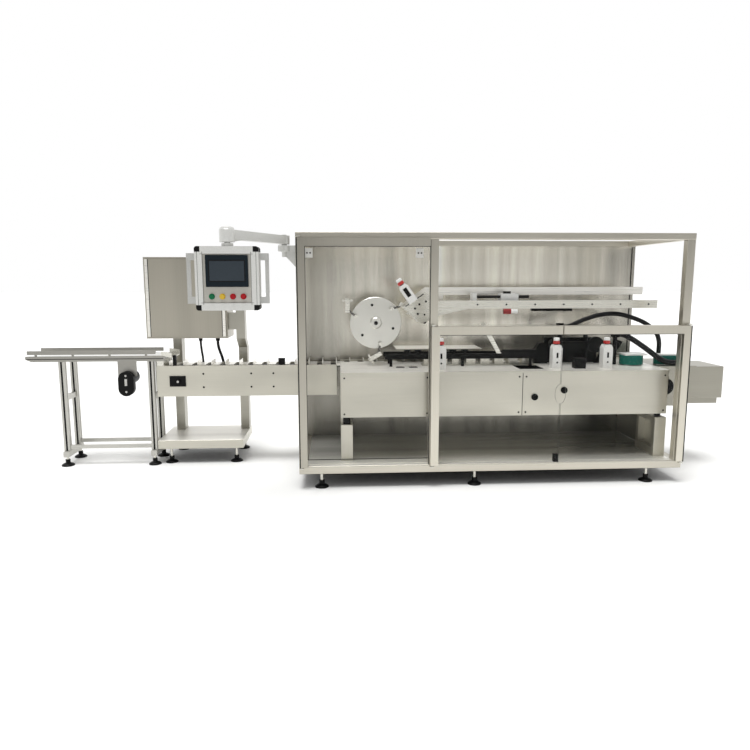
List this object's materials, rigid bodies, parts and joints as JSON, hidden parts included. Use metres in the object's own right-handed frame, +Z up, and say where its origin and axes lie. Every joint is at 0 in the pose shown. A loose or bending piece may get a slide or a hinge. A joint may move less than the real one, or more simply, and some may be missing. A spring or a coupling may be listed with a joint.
{
  "type": "automatic cartoner",
  "caption": "Automatic cartoner: glazed steel cabinet with carton rotor and magazine, flighted infeed, belt conveyor, discharge and swing-arm operator panel.",
  "frame": {"origin": "middle of the whole line's box, on the floor", "axes": "+X along the line from infeed to discharge, +Y away from the operator, +Z up"},
  "size_m": [4.718, 1.5946, 1.545],
  "materials": {
    "frame_steel": "brushed",
    "sheet_steel": "brushed",
    "bright_steel": "satin",
    "alloy": "satin",
    "black_parts": "matte",
    "hose_rubber": "matte",
    "white_plastic": "satin",
    "red_plastic": "gloss",
    "green_rubber": "matte",
    "button_plastic": "gloss",
    "clear_pane": "clear"
  },
  "bodies": {
    "machine": {"frame_rails": "frame_steel", "frame_ties": "frame_steel", "frame_posts": "frame_steel", "levelling_feet": "black_parts", "base_tray": "sheet_steel", "back_wall": "sheet_steel", "rear_housing": "sheet_steel", "bed_housing": "sheet_steel", "bed_covers": "sheet_steel", "bed_pillars": "sheet_steel", "bed_adjusters": "black_parts", "infeed_trough": "sheet_steel", "infeed_chain": "bright_steel", "infeed_switch": "black_parts", "stand_base": "sheet_steel", "stand_uprights": "sheet_steel", "control_box": "sheet_steel", "belt_frames": "alloy", "belt_loop": "white_plastic", "belt_legs": "alloy", "belt_drive": "black_parts", "transfer_chute": "bright_steel", "rotor_bearing": "bright_steel", "magazine_plates": "bright_steel", "magazine_bars": "bright_steel", "magazine_deck": "black_parts", "magazine_roller": "black_parts", "magazine_carriage": "white_plastic", "adjuster_towers": "white_plastic", "adjuster_knobs": "red_plastic", "carton_rails": "black_parts", "carton_lugs": "bright_steel", "opening_arm": "bright_steel", "closing_unit": "black_parts", "hose_fittings": "black_parts", "side_belts": "green_rubber", "side_belt_plates": "white_plastic", "discharge_frame": "sheet_steel", "discharge_guard": "sheet_steel", "door_pivots": "bright_steel", "hmi_bracket": "alloy", "hose_arch": "hose_rubber", "hose_drop": "hose_rubber", "lead_a": "hose_rubber", "lead_b": "hose_rubber"},
    "rotor": {"rotor_disc": "bright_steel", "rotor_arms": "bright_steel"},
    "left_door": {"left_door_frame": "frame_steel", "left_door_pane": "clear_pane", "left_door_clips": "white_plastic"},
    "middle_door": {"middle_door_frame": "frame_steel", "middle_door_pane": "clear_pane"},
    "right_door": {"right_door_frame": "frame_steel", "right_door_pane": "clear_pane"},
    "swing_arm": {"hmi_arm": "alloy"},
    "operator_panel": {"hmi_box": "alloy", "hmi_corners": "black_parts", "hmi_terminal": "black_parts", "hmi_buttons": "button_plastic", "hmi_handles": "alloy"}
  },
  "joints": [
    {"name": "rotor_spin", "type": "hinge", "parent": "machine", "child": "rotor", "pos_m": [-0.005, 0.13731, 0.987], "axis": [0, 1, 0], "continuous": true},
    {"name": "left_door_hinge", "type": "hinge", "parent": "machine", "child": "left_door", "pos_m": [-0.482, -0.31769, 0.141], "axis": [0, 0, -1], "range_deg": [0, 95]},
    {"name": "middle_door_hinge", "type": "hinge", "parent": "machine", "child": "middle_door", "pos_m": [0.313, -0.31769, 0.141], "axis": [0, 0, -1], "range_deg": [0, 95]},
    {"name": "right_door_hinge", "type": "hinge", "parent": "machine", "child": "right_door", "pos_m": [1.884, -0.31769, 0.141], "axis": [0, 0, 1], "range_deg": [0, 95]},
    {"name": "arm_swing", "type": "hinge", "parent": "machine", "child": "swing_arm", "pos_m": [-0.564, -0.27269, 1.473], "axis": [0, 0, -1], "range_deg": [-50, 62]},
    {"name": "panel_swivel", "type": "hinge", "parent": "swing_arm", "child": "operator_panel", "pos_m": [-0.81423, -0.74331, 1.473], "axis": [0, 0, 1], "range_deg": [-90, 90]}
  ]
}
